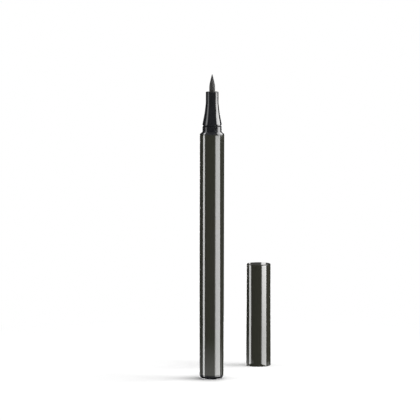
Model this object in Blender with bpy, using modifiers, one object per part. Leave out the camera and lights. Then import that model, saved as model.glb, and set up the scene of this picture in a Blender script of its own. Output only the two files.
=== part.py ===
"""Eyebrow pen, uncapped and standing on its tail, with its cap standing beside it.

The pen is a felt tip fed from a free-ink tank through a wick and a finned collector. The cap holds a
sprung inner cup that seals round the flare behind the tip. Metres, +Z up. The origin is the centre of
the flat tail face, on the pen's axis.
"""

import math

import bmesh
import bpy
from mathutils import Matrix

MM = 0.001

# Clearances
PRESS_GAP = 0.06 * MM  # round faces that are pressed or moulded together
SLIDE_GAP = 0.12 * MM  # round faces that slide on each other
END_GAP = 0.1 * MM  # faces that meet end to end
CUT_OVERRUN = 0.5 * MM  # how far a cutter reaches past what it cuts

# Barrel sleeve, a drawn metal tube
BARREL_RADIUS = 4.9 * MM
SLEEVE_LENGTH = 97.1 * MM
SLEEVE_WALL = 0.35 * MM
SLEEVE_EDGE = 0.1 * MM
TAIL_TAPER_LENGTH = 27.0 * MM
TAIL_TAPER_DROP = 0.06 * MM
TAIL_TAPER_POWER = 3.0
TAIL_TAPER_STEPS = 6

# Tail plug, a domed button on a hollow spigot
BUTTON_HEIGHT = 1.54 * MM
BUTTON_INSET = 0.05 * MM
DOME_STEPS = 6
TAIL_FACE_RADIUS = 3.0 * MM
TAIL_SPIGOT_LENGTH = 3.3 * MM
TAIL_SPIGOT_WALL = 0.9 * MM
TAIL_FLOOR = 1.0 * MM

# Ink tank and the plugs at its two ends
TANK_GAP = 0.1 * MM
TANK_WALL = 0.42 * MM
TANK_BAND_LENGTH = 6.0 * MM
REAR_PLUG_FLANGE = 0.8 * MM
REAR_PLUG_DEPTH = 3.0 * MM
REAR_PLUG_WALL = 0.7 * MM
FRONT_PLUG_LENGTH = 4.0 * MM
BALL_SIDE_GAP = 0.12 * MM
BALL_WALL_GAP = 0.13 * MM
BALL_REST_GAP = 0.05 * MM
BALL_SEGMENTS = 16
BALL_RINGS = 10

# Feed: wick, collector and nib
WICK_RADIUS = 1.0 * MM
WICK_RECESS = 0.4 * MM
COLLECTOR_CORE_WALL = 0.6 * MM
COLLECTOR_FLANGE = 1.0 * MM
COLLECTOR_LENGTH = 31.0 * MM
COLLECTOR_NOSE_LENGTH = 5.0 * MM
COLLECTOR_NOSE_WALL = 0.8 * MM
FIN_COUNT = 17
FIN_SHARE = 0.45
AIR_SLOT_WIDTH = 0.4 * MM
NIB_RADIUS = 1.16 * MM
NIB_REACH = 7.0 * MM
NIB_POINT_LENGTH = 5.2 * MM
NIB_TIP_RADIUS = 0.17 * MM
NIB_TIP_STEPS = 2
NIB_SEAT_DEPTH = 2.2 * MM
NIB_BODY_SHARES = ((0.0, 1.0), (0.14, 0.965), (0.27, 0.885), (0.5, 0.66), (0.73, 0.4), (0.9, 0.21))
HOLDER_WALL = 0.5 * MM
HOLDER_LENGTH = 10.6 * MM
HOLDER_RECESS = 0.3 * MM
VENT_COUNT = 3
VENT_WIDTH = 0.4 * MM
VENT_DEPTH = 0.2 * MM

# Front section, from its shoulder to its tip
FLANGE_INSET = 0.05 * MM
SHOULDER_LAND = 0.1 * MM
SHOULDER_HEIGHT = 0.86 * MM
COLLAR_LENGTH = 3.2 * MM
GROOVE_WIDTH = 0.5 * MM
GROOVE_DEPTH = 0.12 * MM
GROOVE_DROP = 0.8 * MM
FLARE_LENGTH = 8.45 * MM
FLARE_BOW_SHARE = 0.11
FLARE_STEPS = 8
NECK_RADIUS = 2.54 * MM
NECK_LENGTH = 4.45 * MM
SECTION_EDGE = 0.12 * MM
SECTION_SPIGOT_LENGTH = 8.0 * MM
SECTION_SPIGOT_WALL = 0.5 * MM
SECTION_SEAT_HEIGHT = 0.9 * MM

# Cap: shell, liner, seal cup, spring and end plug
CAP_LENGTH = 42.0 * MM
CAP_STEP = 0.15 * MM
CAP_TAPER_DROP = 0.17 * MM
CAP_TAPER_SHARES = ((0.0, 0.0), (0.1, 0.05), (0.28, 0.26), (0.45, 0.6), (0.72, 0.88), (1.0, 1.0))
CAP_WALL = 0.35 * MM
CAP_TOP_WALL = 0.4 * MM
CAP_TOP_EDGE = 0.3 * MM
CAP_MOUTH_EDGE = 0.16 * MM
LINER_WALL = 0.69 * MM
LINER_REAR_WALL = 0.5 * MM
LINER_MOUTH_RECESS = 0.9 * MM
LINER_LEAD_IN = 0.25 * MM
COLLAR_GAP = 0.1 * MM
BEAD_HEIGHT = 0.1 * MM
LEDGE_HEIGHT = 0.8 * MM
SEAL_LIP_SHARE = 0.46
SEAL_CLOSED_TRAVEL = 1.6 * MM
SEAL_WALL_SHARE = 0.6
SEAL_CEILING_WALL = 0.42 * MM
SEAL_FLANGE_HEIGHT = 0.7 * MM
SEAL_TIP_ROOM = 1.2 * MM
SEAL_BOSS_HEIGHT = 1.0 * MM
SPRING_RADIUS = 2.4 * MM
SPRING_WIRE = 0.4 * MM
SPRING_TURNS = 9
SPRING_POINTS_PER_TURN = 10
SPRING_END_TURNS_SHARE = 0.1
SPRING_END_PITCH = 0.62 * MM
END_PLUG_FLANGE = 1.0 * MM
END_PLUG_DEPTH = 3.0 * MM
END_PLUG_WALL = 0.8 * MM

# Where the cap stands, from the pen's axis
CAP_X = 19.2 * MM
CAP_Y = 39.3 * MM

# How finely round things are drawn
SHELL_SEGMENTS = 40
INNER_SEGMENTS = 28
FINE_SEGMENTS = 20
ARC_STEPS = 2
MERGE_DISTANCE = 0.001 * MM
HALVINGS = 40

# Heights along the pen, worked out from the sizes above
sleeve_base = BUTTON_HEIGHT + END_GAP
sleeve_top = sleeve_base + SLEEVE_LENGTH
collar_base = sleeve_top + SHOULDER_HEIGHT
collar_top = collar_base + COLLAR_LENGTH
flare_top = collar_top + FLARE_LENGTH
section_tip = flare_top + NECK_LENGTH
pen_length = section_tip + NIB_REACH
tank_base = sleeve_base + TAIL_SPIGOT_LENGTH + REAR_PLUG_FLANGE + 2 * END_GAP
ink_floor = tank_base + REAR_PLUG_DEPTH
nose_base = collar_base
nose_top = nose_base + COLLECTOR_NOSE_LENGTH
collector_base = nose_base - COLLECTOR_LENGTH
nib_base = nose_top - NIB_SEAT_DEPTH
front_plug_top = collector_base - END_GAP
front_plug_base = front_plug_top - FRONT_PLUG_LENGTH
wick_base = front_plug_base + WICK_RECESS

# Radii along the pen
sleeve_bore = BARREL_RADIUS - SLEEVE_WALL
tail_bore = sleeve_bore - TAIL_TAPER_DROP
tank_radius = tail_bore - TANK_GAP
tank_bore = tank_radius - TANK_WALL
ball_radius = (tank_bore - BALL_SIDE_GAP - BALL_WALL_GAP) / 2
ball_spread = ball_radius + BALL_SIDE_GAP
cap_mouth_radius = BARREL_RADIUS + CAP_STEP
cap_bore = cap_mouth_radius - CAP_WALL
collar_radius = cap_bore - PRESS_GAP - LINER_WALL - COLLAR_GAP
flange_radius = BARREL_RADIUS - FLANGE_INSET
holder_bore = NIB_RADIUS + PRESS_GAP
holder_radius = holder_bore + HOLDER_WALL
nose_radius = NIB_RADIUS + PRESS_GAP + COLLECTOR_NOSE_WALL
spigot_radius = tank_bore - PRESS_GAP
spigot_bore = spigot_radius - SECTION_SPIGOT_WALL
collector_core = WICK_RADIUS + PRESS_GAP + COLLECTOR_CORE_WALL
fin_radius = spigot_bore - SLIDE_GAP

# Where the closed cap sits on the shoulder's slope, above the sleeve's rim
slope_run = (flange_radius - cap_bore + PRESS_GAP) / (flange_radius - collar_radius)
cap_seat = SHOULDER_LAND + slope_run * (SHOULDER_HEIGHT - SHOULDER_LAND)


def flare_radius(height):
    """The section's outer radius at a height on the pen, between the collar and the neck."""
    share = min(max((flare_top - height) / FLARE_LENGTH, 0.0), 1.0)
    bow = FLARE_BOW_SHARE * math.sin(math.pi * share)
    return NECK_RADIUS + (collar_radius - NECK_RADIUS) * (share - bow)


def flare_height(radius):
    """The height on the pen at which the flare has this radius, found by halving."""
    low, high = collar_top, flare_top
    for _ in range(HALVINGS):
        middle = (low + high) / 2
        if flare_radius(middle) > radius:
            low = middle
        else:
            high = middle
    return low


def in_cap(height):
    """A height on the pen as a height above the mouth of the closed cap."""
    return height - sleeve_top - cap_seat


# Sizes inside the cap, above its mouth, with the seal cup at rest on its ledge
seal_bore = NECK_RADIUS + SEAL_LIP_SHARE * (collar_radius - NECK_RADIUS)
seal_base = in_cap(flare_height(seal_bore - PRESS_GAP)) - SEAL_CLOSED_TRAVEL
seal_ceiling = in_cap(pen_length) + SEAL_TIP_ROOM - SEAL_CLOSED_TRAVEL
seal_top = seal_ceiling + SEAL_CEILING_WALL
ledge_top = seal_base - PRESS_GAP
ledge_base = ledge_top - LEDGE_HEIGHT
ledge_bore = flare_radius(ledge_base + sleeve_top + cap_seat) + COLLAR_GAP
liner_bore = cap_bore - CAP_TAPER_DROP - PRESS_GAP - LINER_REAR_WALL
seal_flange_radius = liner_bore - SLIDE_GAP
seal_radius = seal_bore + SEAL_WALL_SHARE * (seal_flange_radius - seal_bore)
collar_bore = collar_radius + COLLAR_GAP
bead_height = in_cap(collar_top - GROOVE_DROP)
cap_ceiling = CAP_LENGTH - CAP_TOP_WALL
end_plug_top = cap_ceiling - END_GAP
liner_top = end_plug_top - END_PLUG_FLANGE - END_GAP
end_plug_face = liner_top - END_PLUG_DEPTH
spring_flat_radius = SPRING_RADIUS * math.cos(math.pi / SPRING_POINTS_PER_TURN)
guide_radius = spring_flat_radius - SPRING_WIRE / 2 - SLIDE_GAP
spring_base = seal_top + END_GAP
spring_top = end_plug_face - END_GAP


def clear_scene():
    for item in list(bpy.data.objects):
        bpy.data.objects.remove(item, do_unlink=True)


def new_collection(name):
    collection = bpy.data.collections.new(name)
    bpy.context.scene.collection.children.link(collection)
    return collection


def new_material(name, colour, roughness, metallic=0.0):
    material = bpy.data.materials.new(name)
    material.use_nodes = True
    shader = material.node_tree.nodes["Principled BSDF"]
    shader.inputs["Base Color"].default_value = (*colour, 1.0)
    shader.inputs["Roughness"].default_value = roughness
    shader.inputs["Metallic"].default_value = metallic
    material.diffuse_color = (*colour, 1.0)
    return material


def new_empty(name, collection, location, parent=None):
    empty = bpy.data.objects.new(name, None)
    empty.empty_display_size = BARREL_RADIUS
    empty.location = location
    empty.parent = parent
    collection.objects.link(empty)
    return empty


def new_object(name, data, collection, material, parent):
    made = bpy.data.objects.new(name, data)
    made.parent = parent
    if material:
        data.materials.append(material)
    collection.objects.link(made)
    return made


def rounded(outline, closed):
    """Points of an outline whose corners (radius, height, fillet) become arcs of that fillet."""
    points = []
    last = len(outline) - 1
    for place, (r, z, *fillet) in enumerate(outline):
        if not fillet or (not closed and place in (0, last)):
            points.append((r, z))
            continue
        before, after = outline[place - 1], outline[(place + 1) % len(outline)]
        back = math.atan2(before[1] - z, before[0] - r)
        ahead = math.atan2(after[1] - z, after[0] - r)
        turn = (ahead - back + math.pi) % math.tau - math.pi
        reach = fillet[0] / math.tan(abs(turn) / 2)
        middle = back + turn / 2
        far = fillet[0] / math.sin(abs(turn) / 2)
        centre = (r + far * math.cos(middle), z + far * math.sin(middle))
        start = (r + reach * math.cos(back), z + reach * math.sin(back))
        angle = math.atan2(start[1] - centre[1], start[0] - centre[0])
        sweep = math.copysign(math.pi - abs(turn), -turn)
        for step in range(ARC_STEPS + 1):
            at = angle + sweep * step / ARC_STEPS
            points.append((centre[0] + fillet[0] * math.cos(at), centre[1] + fillet[0] * math.sin(at)))
    return points


def turned(name, outline, segments, collection, material, parent, closed=False):
    """A turned piece. Its outline runs down the outer side, then back up the bore if it has one."""
    points = rounded(outline, closed)
    mesh = bpy.data.meshes.new(name)
    edges = [(place, place + 1) for place in range(len(points) - 1)]
    if closed:
        edges.append((len(points) - 1, 0))
    mesh.from_pydata([(r, 0.0, z) for r, z in points], edges, [])
    made = new_object(name, mesh, collection, material, parent)
    screw = made.modifiers.new("Turn", "SCREW")
    screw.steps = screw.render_steps = segments
    screw.use_merge_vertices = True
    screw.merge_threshold = MERGE_DISTANCE
    screw.use_smooth_shade = True
    return made


def box_cutter(name, boxes, collection, parent):
    """One helper mesh of boxes, each given by its size, its centre and its turn about the axis."""
    mesh = bpy.data.meshes.new(name)
    shape = bmesh.new()
    for size, centre, angle in boxes:
        place = (
            Matrix.Rotation(angle, 4, "Z")
            @ Matrix.Translation(centre)
            @ Matrix.Diagonal((*size, 1.0))
        )
        bmesh.ops.create_cube(shape, size=1.0, matrix=place)
    shape.to_mesh(mesh)
    shape.free()
    made = new_object(name, mesh, collection, None, parent)
    made.hide_render = True
    made.display_type = "WIRE"
    return made


def cut(made, cutter):
    boolean = made.modifiers.new("Cut", "BOOLEAN")
    boolean.operation = "DIFFERENCE"
    boolean.object = cutter


def sleeve_taper(base, top, radius):
    """Points down the sleeve from its full radius to its tail, the last at its base."""
    points = []
    for step in range(TAIL_TAPER_STEPS + 1):
        share = 1 - step / TAIL_TAPER_STEPS
        height = max(base, sleeve_base + TAIL_TAPER_LENGTH * share)
        drop = TAIL_TAPER_DROP * (1 - share**TAIL_TAPER_POWER)
        points.append((radius - drop, min(height, top)))
    return points


def cap_radius(height):
    """The cap shell's outer radius at a height above its mouth."""
    share = height / CAP_LENGTH
    for (low, drop_low), (high, drop_high) in zip(CAP_TAPER_SHARES, CAP_TAPER_SHARES[1:]):
        if share <= high:
            part = (share - low) / (high - low)
            return cap_mouth_radius - CAP_TAPER_DROP * (drop_low + part * (drop_high - drop_low))
    return cap_mouth_radius - CAP_TAPER_DROP


def cap_taper(low, high, inset):
    """Points down the cap's side, set in from its outer face, between two heights."""
    between = [CAP_LENGTH * share for share, _ in CAP_TAPER_SHARES if low < CAP_LENGTH * share < high]
    return [(cap_radius(height) - inset, height) for height in [high, *reversed(between), low]]


def make_barrel_sleeve(collection, material, pen):
    outer = sleeve_taper(sleeve_base, sleeve_top, BARREL_RADIUS)
    inner = sleeve_taper(sleeve_base, sleeve_top, sleeve_bore)
    outline = [
        (BARREL_RADIUS, sleeve_top, SLEEVE_EDGE),
        *outer[:-1],
        (*outer[-1], SLEEVE_EDGE),
        *reversed(inner),
        (sleeve_bore, sleeve_top),
    ]
    turned("barrel_sleeve", outline, SHELL_SEGMENTS, collection, material, pen, closed=True)


def make_tail_plug(collection, material, pen):
    rim = BARREL_RADIUS - TAIL_TAPER_DROP - BUTTON_INSET
    spigot = tail_bore - PRESS_GAP
    spigot_top = sleeve_base + TAIL_SPIGOT_LENGTH
    dome = []
    for step in range(DOME_STEPS):
        angle = math.pi / 2 * step / DOME_STEPS
        across = TAIL_FACE_RADIUS + (rim - TAIL_FACE_RADIUS) * math.cos(angle)
        dome.append((across, BUTTON_HEIGHT * (1 - math.sin(angle))))
    outline = [
        (0.0, TAIL_FLOOR),
        (spigot - TAIL_SPIGOT_WALL, TAIL_FLOOR),
        (spigot - TAIL_SPIGOT_WALL, spigot_top),
        (spigot, spigot_top),
        (spigot, BUTTON_HEIGHT),
        *dome,
        (TAIL_FACE_RADIUS, 0.0),
        (0.0, 0.0),
    ]
    turned("tail_plug", outline, SHELL_SEGMENTS, collection, material, pen)


def make_ink_tank(collection, material, pen):
    band_radius = sleeve_bore - PRESS_GAP
    band_base = sleeve_top - TANK_BAND_LENGTH
    outline = [
        (band_radius, sleeve_top),
        (band_radius, band_base),
        (tank_radius, band_base - (band_radius - tank_radius)),
        (tank_radius, tank_base),
        (tank_bore, tank_base),
        (tank_bore, sleeve_top),
    ]
    turned("ink_tank", outline, INNER_SEGMENTS, collection, material, pen, closed=True)


def make_tank_rear_plug(collection, material, pen):
    flange_base = tank_base - END_GAP - REAR_PLUG_FLANGE
    spigot = tank_bore - PRESS_GAP
    hollow = spigot - REAR_PLUG_WALL
    outline = [
        (0.0, ink_floor),
        (spigot, ink_floor),
        (spigot, tank_base - END_GAP),
        (tank_radius, tank_base - END_GAP),
        (tank_radius, flange_base),
        (hollow, flange_base),
        (hollow, ink_floor - REAR_PLUG_WALL),
        (0.0, ink_floor - REAR_PLUG_WALL),
    ]
    turned("tank_rear_plug", outline, INNER_SEGMENTS, collection, material, pen)


def air_slot(collection, pen):
    """The cutter of the air channel that runs along the front plug and the collector."""
    depth = fin_radius
    start = collector_core - AIR_SLOT_WIDTH / 2
    low = front_plug_base - CUT_OVERRUN
    size = (depth, AIR_SLOT_WIDTH, nose_base - low)
    centre = (start + depth / 2, 0.0, (nose_base + low) / 2)
    half_facet = math.pi / FINE_SEGMENTS
    return box_cutter("air_slot_cutter", [(size, centre, half_facet)], collection, pen)


def make_tank_front_plug(collection, material, pen, slot):
    radius = tank_bore - PRESS_GAP
    bore = WICK_RADIUS + PRESS_GAP
    outline = [
        (radius, front_plug_top),
        (radius, front_plug_base),
        (bore, front_plug_base),
        (bore, front_plug_top),
    ]
    made = turned("tank_front_plug", outline, INNER_SEGMENTS, collection, material, pen, closed=True)
    cut(made, slot)


def make_mixing_ball(name, side, collection, material, pen):
    mesh = bpy.data.meshes.new(name)
    shape = bmesh.new()
    bmesh.ops.create_uvsphere(shape, u_segments=BALL_SEGMENTS, v_segments=BALL_RINGS, radius=ball_radius)
    shape.to_mesh(mesh)
    shape.free()
    mesh.shade_smooth()
    made = new_object(name, mesh, collection, material, pen)
    made.location = (side * ball_spread, 0.0, ink_floor + BALL_REST_GAP + ball_radius)


def make_feed_wick(collection, material, pen):
    top = nib_base - END_GAP
    outline = [(0.0, top), (WICK_RADIUS, top), (WICK_RADIUS, wick_base), (0.0, wick_base)]
    turned("feed_wick", outline, FINE_SEGMENTS, collection, material, pen)


def make_collector(collection, material, pen, slot):
    wick_bore = WICK_RADIUS + PRESS_GAP
    nib_bore = NIB_RADIUS + PRESS_GAP
    flange = tank_bore - PRESS_GAP
    fins_base = collector_base + COLLECTOR_FLANGE
    pitch = (nose_base - fins_base) / (FIN_COUNT + 1)
    outline = [(nose_radius, nose_top)]
    outline.append((nose_radius, nose_base))
    for fin in range(FIN_COUNT):
        top = nose_base - pitch * (fin + 1)
        outline.append((collector_core, top + pitch * FIN_SHARE))
        outline.append((fin_radius, top + pitch * FIN_SHARE))
        outline.append((fin_radius, top))
        outline.append((collector_core, top))
    outline += [
        (collector_core, fins_base),
        (flange, fins_base),
        (flange, collector_base),
        (wick_bore, collector_base),
        (wick_bore, nib_base - END_GAP / 2),
        (nib_bore, nib_base - END_GAP / 2),
        (nib_bore, nose_top),
    ]
    made = turned("collector", outline, FINE_SEGMENTS, collection, material, pen, closed=True)
    cut(made, slot)


def make_nib(collection, material, pen):
    point_base = pen_length - NIB_POINT_LENGTH
    tip = [(0.0, pen_length)]
    for step in range(1, NIB_TIP_STEPS + 1):
        angle = math.pi / 2 * step / NIB_TIP_STEPS
        across = NIB_TIP_RADIUS * math.sin(angle)
        tip.append((across, pen_length - NIB_TIP_RADIUS * (1 - math.cos(angle))))
    body = []
    for along, across in reversed(NIB_BODY_SHARES):
        body.append((NIB_RADIUS * across, point_base + NIB_POINT_LENGTH * along))
    outline = [*tip, *body, (NIB_RADIUS, nib_base), (0.0, nib_base)]
    turned("nib", outline, FINE_SEGMENTS, collection, material, pen)


def make_nib_holder(collection, cutters, material, pen):
    top = section_tip - HOLDER_RECESS
    base = top - HOLDER_LENGTH
    outline = [
        (holder_radius, top),
        (holder_radius, base),
        (holder_bore, base),
        (holder_bore, top),
    ]
    made = turned("nib_holder", outline, FINE_SEGMENTS, collection, material, pen, closed=True)
    size = (2 * VENT_DEPTH, VENT_WIDTH, HOLDER_LENGTH + 2 * CUT_OVERRUN)
    vents = []
    for number in range(VENT_COUNT):
        angle = math.tau * number / VENT_COUNT + math.pi / FINE_SEGMENTS
        vents.append((size, (holder_radius, 0.0, (top + base) / 2), angle))
    cut(made, box_cutter("vent_cutter", vents, cutters, pen))


def make_front_section(collection, material, pen):
    spigot_base = sleeve_top - SECTION_SPIGOT_LENGTH
    flange_base = sleeve_top + PRESS_GAP
    nose_bore = nose_radius + SLIDE_GAP
    seat = nose_base + SECTION_SEAT_HEIGHT
    holder_seat = section_tip - HOLDER_RECESS - HOLDER_LENGTH - END_GAP
    neck_bore = holder_radius + PRESS_GAP
    groove = collar_top - GROOVE_DROP
    flare = []
    for step in range(FLARE_STEPS + 1):
        height = flare_top - FLARE_LENGTH * step / FLARE_STEPS
        flare.append((flare_radius(height), height))
    outline = [
        (NECK_RADIUS, section_tip, SECTION_EDGE),
        *flare,
        (collar_radius, groove + GROOVE_WIDTH / 2),
        (collar_radius - GROOVE_DEPTH, groove + GROOVE_WIDTH / 4),
        (collar_radius - GROOVE_DEPTH, groove - GROOVE_WIDTH / 4),
        (collar_radius, groove - GROOVE_WIDTH / 2),
        (collar_radius, collar_base),
        (flange_radius, sleeve_top + SHOULDER_LAND),
        (flange_radius, flange_base),
        (spigot_radius, flange_base),
        (spigot_radius, spigot_base),
        (spigot_bore, spigot_base),
        (spigot_bore, seat),
        (nose_bore, seat),
        (nose_bore, holder_seat),
        (neck_bore, holder_seat),
        (neck_bore, section_tip),
    ]
    turned("front_section", outline, SHELL_SEGMENTS, collection, material, pen, closed=True)


def make_cap_shell(collection, material, cap):
    side = cap_taper(0.0, CAP_LENGTH, 0.0)
    bore = cap_taper(0.0, cap_ceiling, CAP_WALL)
    outline = [
        (0.0, CAP_LENGTH),
        (*side[0], CAP_TOP_EDGE),
        *side[1:-1],
        (*side[-1], CAP_MOUTH_EDGE),
        *reversed(bore),
        (0.0, cap_ceiling),
    ]
    turned("cap_shell", outline, SHELL_SEGMENTS, collection, material, cap)


def make_cap_liner(collection, material, cap):
    base = LINER_MOUTH_RECESS
    side = cap_taper(base, liner_top, CAP_WALL + PRESS_GAP)
    bead = collar_bore - BEAD_HEIGHT
    outline = [
        *side,
        (collar_bore + LINER_LEAD_IN, base),
        (collar_bore, base + LINER_LEAD_IN),
        (collar_bore, bead_height - GROOVE_WIDTH / 2),
        (bead, bead_height),
        (collar_bore, bead_height + GROOVE_WIDTH / 2),
        (collar_bore, ledge_base),
        (ledge_bore, ledge_base),
        (ledge_bore, ledge_top),
        (liner_bore, ledge_top),
        (liner_bore, liner_top),
    ]
    turned("cap_liner", outline, SHELL_SEGMENTS, collection, material, cap, closed=True)


def make_seal_cup(collection, material, seal):
    """The cup's origin is on the cap's axis, at the height of its own lip."""
    top = seal_top - seal_base
    ceiling = seal_ceiling - seal_base
    outline = [
        (0.0, top + SEAL_BOSS_HEIGHT),
        (guide_radius, top + SEAL_BOSS_HEIGHT),
        (guide_radius, top),
        (seal_radius, top),
        (seal_radius, SEAL_FLANGE_HEIGHT),
        (seal_flange_radius, SEAL_FLANGE_HEIGHT),
        (seal_flange_radius, 0.0),
        (seal_bore, 0.0),
        (seal_bore, ceiling),
        (0.0, ceiling),
    ]
    turned("seal_cup", outline, INNER_SEGMENTS, collection, material, seal)


def spring_height(share, low, high):
    """The wire's height at a share of its length: slow at both closed ends, steady between."""
    end = SPRING_END_TURNS_SHARE
    climb = SPRING_END_PITCH * SPRING_TURNS
    middle = (high - low - 2 * end * climb) / (1 - 2 * end)
    if share < end:
        return low + climb * share
    if share > 1 - end:
        return high - climb * (1 - share)
    return low + climb * end + middle * (share - end)


def make_seal_spring(collection, material, cap):
    low = spring_base + SPRING_WIRE / 2
    high = spring_top - SPRING_WIRE / 2
    count = SPRING_TURNS * SPRING_POINTS_PER_TURN
    curve = bpy.data.curves.new("seal_spring", "CURVE")
    curve.dimensions = "3D"
    curve.bevel_depth = SPRING_WIRE / 2
    curve.bevel_resolution = 1
    curve.use_fill_caps = True
    spline = curve.splines.new("POLY")
    spline.points.add(count)
    for step, point in enumerate(spline.points):
        angle = math.tau * step / SPRING_POINTS_PER_TURN
        height = spring_height(step / count, low, high)
        point.co = (SPRING_RADIUS * math.cos(angle), SPRING_RADIUS * math.sin(angle), height, 1.0)
    new_object("seal_spring", curve, collection, material, cap)


def make_liner_end_plug(collection, material, cap):
    flange = cap_mouth_radius - CAP_TAPER_DROP - CAP_WALL - PRESS_GAP
    spigot = liner_bore - PRESS_GAP
    hollow = spigot - END_PLUG_WALL
    flange_base = end_plug_top - END_PLUG_FLANGE
    outline = [
        (0.0, end_plug_face + END_PLUG_WALL),
        (hollow, end_plug_face + END_PLUG_WALL),
        (hollow, end_plug_top),
        (flange, end_plug_top),
        (flange, flange_base),
        (spigot, flange_base),
        (spigot, end_plug_face),
        (guide_radius, end_plug_face),
        (guide_radius, end_plug_face - SEAL_BOSS_HEIGHT),
        (0.0, end_plug_face - SEAL_BOSS_HEIGHT),
    ]
    turned("liner_end_plug", outline, INNER_SEGMENTS, collection, material, cap)


def main():
    clear_scene()
    parts = new_collection("eyebrow_pen")
    cutters = new_collection("cutters")

    gunmetal = new_material("gunmetal", (0.036, 0.037, 0.029), 0.1)
    black = new_material("black_gloss", (0.012, 0.013, 0.016), 0.12)
    holder_black = new_material("black_holder", (0.02, 0.02, 0.022), 0.45)
    natural = new_material("natural_plastic", (0.72, 0.73, 0.7), 0.4)
    white = new_material("white_plastic", (0.8, 0.8, 0.78), 0.35)
    fibre = new_material("wick_fibre", (0.35, 0.3, 0.26), 0.95)
    felt = new_material("nib_felt", (0.055, 0.053, 0.052), 0.9)
    steel = new_material("steel", (0.6, 0.6, 0.6), 0.25, 1.0)

    pen = new_empty("pen", parts, (0.0, 0.0, 0.0))
    cap = new_empty("cap", parts, (CAP_X, CAP_Y, 0.0))
    seal = new_empty("seal", parts, (0.0, 0.0, seal_base), cap)
    slot = air_slot(cutters, pen)

    make_barrel_sleeve(parts, gunmetal, pen)
    make_tail_plug(parts, black, pen)
    make_ink_tank(parts, natural, pen)
    make_tank_rear_plug(parts, white, pen)
    make_tank_front_plug(parts, white, pen, slot)
    for name, side in (("mixing_ball_1", -1), ("mixing_ball_2", 1)):
        make_mixing_ball(name, side, parts, steel, pen)
    make_feed_wick(parts, fibre, pen)
    make_collector(parts, white, pen, slot)
    make_nib(parts, felt, pen)
    make_nib_holder(parts, cutters, holder_black, pen)
    make_front_section(parts, black, pen)

    make_cap_shell(parts, gunmetal, cap)
    make_cap_liner(parts, natural, cap)
    make_seal_cup(parts, white, seal)
    make_seal_spring(parts, steel, cap)
    make_liner_end_plug(parts, white, cap)


main()
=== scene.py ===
"""Looks of the eyebrow pen: lacquered barrel and cap, black mouldings, felt tip and the sprung seal.

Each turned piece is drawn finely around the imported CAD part, in metres, +Z up. Its ends and radii
come from the boxes of the CAD nodes, and from the sizes named below.
"""

import math

import bmesh
import bpy
from mathutils import Matrix, Vector


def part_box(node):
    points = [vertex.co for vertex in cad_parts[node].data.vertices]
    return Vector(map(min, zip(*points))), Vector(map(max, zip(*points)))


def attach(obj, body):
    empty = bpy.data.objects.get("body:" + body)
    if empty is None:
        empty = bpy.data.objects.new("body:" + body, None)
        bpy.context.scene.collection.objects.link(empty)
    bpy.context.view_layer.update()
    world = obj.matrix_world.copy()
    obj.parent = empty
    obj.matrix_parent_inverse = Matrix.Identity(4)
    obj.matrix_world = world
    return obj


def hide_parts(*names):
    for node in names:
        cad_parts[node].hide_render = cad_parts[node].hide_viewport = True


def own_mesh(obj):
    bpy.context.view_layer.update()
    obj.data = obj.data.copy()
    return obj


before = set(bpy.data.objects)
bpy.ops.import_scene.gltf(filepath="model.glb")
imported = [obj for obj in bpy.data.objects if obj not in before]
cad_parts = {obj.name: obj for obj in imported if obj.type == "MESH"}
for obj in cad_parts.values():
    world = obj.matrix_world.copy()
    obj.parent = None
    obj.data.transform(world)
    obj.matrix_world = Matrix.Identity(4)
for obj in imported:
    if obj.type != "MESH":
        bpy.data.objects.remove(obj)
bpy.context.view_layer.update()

MM = 0.001

# Camera, worked out from the photograph
IMAGE_SIZE = 420
FOCAL_PIXELS = 4966.6
SENSOR_WIDTH = 36.0
CAMERA_PLACE = Vector((-0.76, -1980.54, 278.35)) * MM
CAMERA_TARGET = Vector((-0.76, 0.0, 68.16)) * MM
CAMERA_ROLL = math.radians(0.13)
CLIP_RANGE = (0.05, 20.0)

# How finely round things are drawn
SEGMENTS = 144
ARC_STEPS = 5
GUARD_REACH = 0.4
GUARD_SHARE = 0.3
TAPER_STEPS = 14
DOME_STEPS = 14
FLARE_STEPS = 28
NIB_STEPS = 30
TIP_STEPS = 5
SHARP_ANGLE = math.radians(32)

# Gaps, as in the CAD part
PRESS_GAP = 0.06 * MM
SLIDE_GAP = 0.12 * MM
END_GAP = 0.1 * MM

# Barrel sleeve and tail plug
SLEEVE_WALL = 0.35 * MM
RIM_FILLET = 0.12 * MM
TAIL_TAPER_LENGTH = 27.0 * MM
TAIL_TAPER_DROP = 0.06 * MM
TAIL_TAPER_POWER = 3.0
BUTTON_INSET = 0.05 * MM
TAIL_FACE_RADIUS = 3.0 * MM
TAIL_SPIGOT_WALL = 0.9 * MM
TAIL_FLOOR = 1.0 * MM

# Front section
FLANGE_FILLET = 0.04 * MM
SHOULDER_LAND = 0.1 * MM
SHOULDER_HEIGHT = 0.86 * MM
SHOULDER_FILLET = 0.25 * MM
COLLAR_RADIUS = 3.85 * MM
COLLAR_LENGTH = 3.2 * MM
GROOVE_WIDTH = 0.56 * MM
GROOVE_DEPTH = 0.4 * MM
GROOVE_LIP = 0.08 * MM
GROOVE_DROP = 0.73 * MM
GROOVE_FILLET = 0.03 * MM
FLARE_LENGTH = 8.45 * MM
FLARE_BOW_SHARE = 0.11
FLARE_FILLET = 0.5 * MM
NECK_RADIUS = 2.54 * MM
NECK_EDGE = 0.14 * MM
SPIGOT_RADIUS = 3.78 * MM
SPIGOT_WALL = 0.5 * MM
SEAT_HEIGHT = 0.9 * MM
NOSE_BORE = 2.14 * MM

# Felt tip and its holder
NIB_POINT_LENGTH = 5.2 * MM
NIB_TIP_RADIUS = 0.17 * MM
NIB_SHARES = ((0.0, 1.0), (0.14, 0.965), (0.27, 0.885), (0.5, 0.66), (0.73, 0.4), (0.9, 0.21))
HOLDER_EDGE = 0.06 * MM
VENT_COUNT = 3
VENT_WIDTH = 0.4 * MM
VENT_DEPTH = 0.2 * MM

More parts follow.
